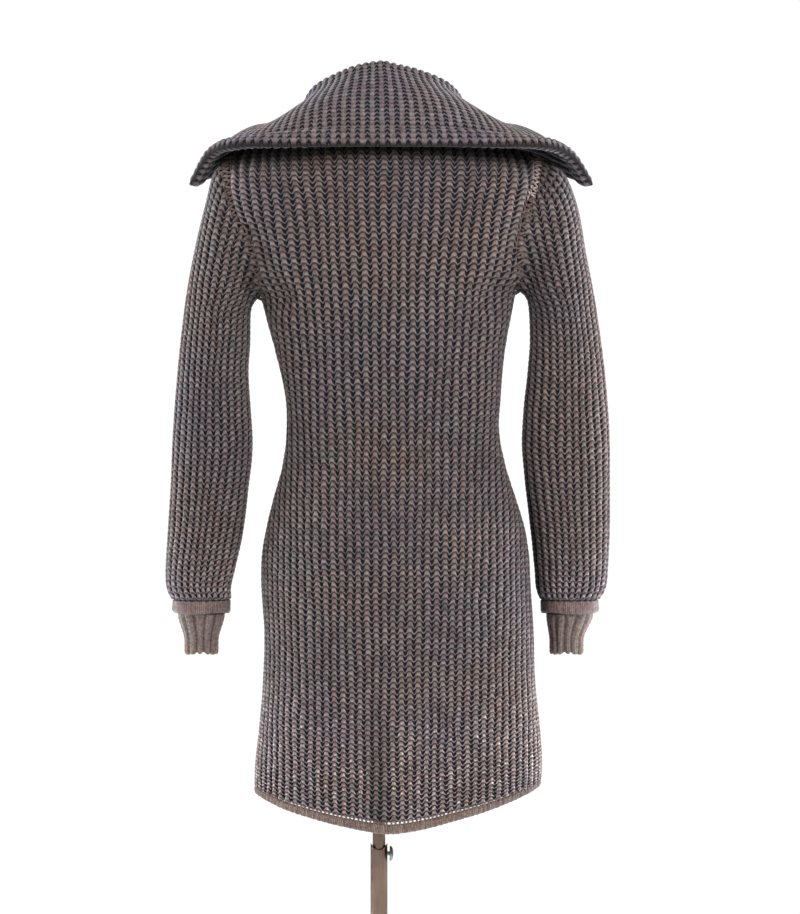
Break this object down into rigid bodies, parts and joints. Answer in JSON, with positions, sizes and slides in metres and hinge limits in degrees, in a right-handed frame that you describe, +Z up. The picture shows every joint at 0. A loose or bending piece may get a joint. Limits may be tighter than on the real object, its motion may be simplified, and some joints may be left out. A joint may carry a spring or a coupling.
{
  "type": "knit coat on a limbless dress form with a stand",
  "caption": "Long fitted knit coat with a wide spread collar and ribbed cuffs, worn by a limbless dress form that turns and rises on a telescopic pole stand.",
  "frame": {"origin": "centre of the round base plate's underside, on the pole's axis", "axes": "+Z up along the pole, -Y towards the coat's front, +X towards the wearer's left"},
  "size_m": [0.5643, 0.33, 1.5266],
  "materials": {
    "two_colour_knit": "chunky half-cardigan knit in taupe, pale grey and navy wool, soft and matte",
    "plain_knit_band": "plain taupe wool rib and band knit, matte",
    "form_cover": "smooth off-white jersey cover, matte",
    "satin_steel": "satin nickel-plated steel tube",
    "painted_steel": "satin grey coated steel",
    "dark_metal": "dark grey satin thumb screw"
  },
  "bodies": {
    "stand": {"base_plate": "painted_steel", "outer_tube": "satin_steel"},
    "screw": {"clamp_screw": "dark_metal"},
    "mast": {"inner_tube": "satin_steel"},
    "form": {"form_torso": "form_cover", "back": "two_colour_knit", "front_left": "two_colour_knit", "front_right": "two_colour_knit", "hem_band_back": "plain_knit_band", "hem_band_front_left": "plain_knit_band", "hem_band_front_right": "plain_knit_band", "sleeve_left": "two_colour_knit", "sleeve_right": "two_colour_knit", "cuff_band_left": "plain_knit_band", "cuff_band_right": "plain_knit_band", "cuff_rib_left": "plain_knit_band", "cuff_rib_right": "plain_knit_band", "collar": "two_colour_knit"}
  },
  "joints": [
    {"name": "height_slide", "type": "slide", "parent": "stand", "child": "mast", "axis": [0, 0, 1], "range_m": [-0.15, 0.15]},
    {"name": "form_swivel", "type": "hinge", "parent": "mast", "child": "form", "pos_m": [0, 0, 0.767], "axis": [0, 0, 1], "continuous": true},
    {"name": "clamp_screw_turn", "type": "hinge", "parent": "stand", "child": "screw", "pos_m": [0, 0, 0.524], "axis": [-1, 0, 0], "continuous": true}
  ]
}
